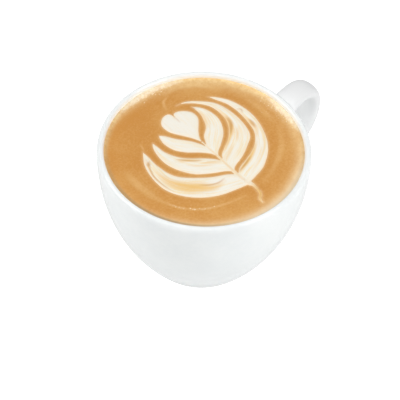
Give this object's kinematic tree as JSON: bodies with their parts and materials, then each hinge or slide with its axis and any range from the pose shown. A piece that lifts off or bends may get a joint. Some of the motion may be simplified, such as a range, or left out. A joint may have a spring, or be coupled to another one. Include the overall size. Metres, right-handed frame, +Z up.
{
  "type": "latte in a cup",
  "caption": "Latte with a milk-foam rosetta on its crema, in a round white porcelain cup with a loop handle and a foot ring.",
  "frame": {"origin": "middle of the object's box, on the plane that the foot ring stands on; the cup's axis is the vertical line at x = -11.64 mm", "axes": "+X from the cup's axis towards the handle, +Z up, and the rosetta's stem points along -Y"},
  "size_m": [0.1232, 0.1, 0.0725],
  "materials": {
    "porcelain": "white glazed porcelain, glossy, with an unglazed foot ring",
    "crema": "caramel-brown crema on milky coffee, wet satin",
    "milk": "off-white steamed milk foam, satin"
  },
  "bodies": {
    "root": {"cup": "porcelain", "coffee": "crema", "milk_foam": "milk"}
  },
  "joints": []
}
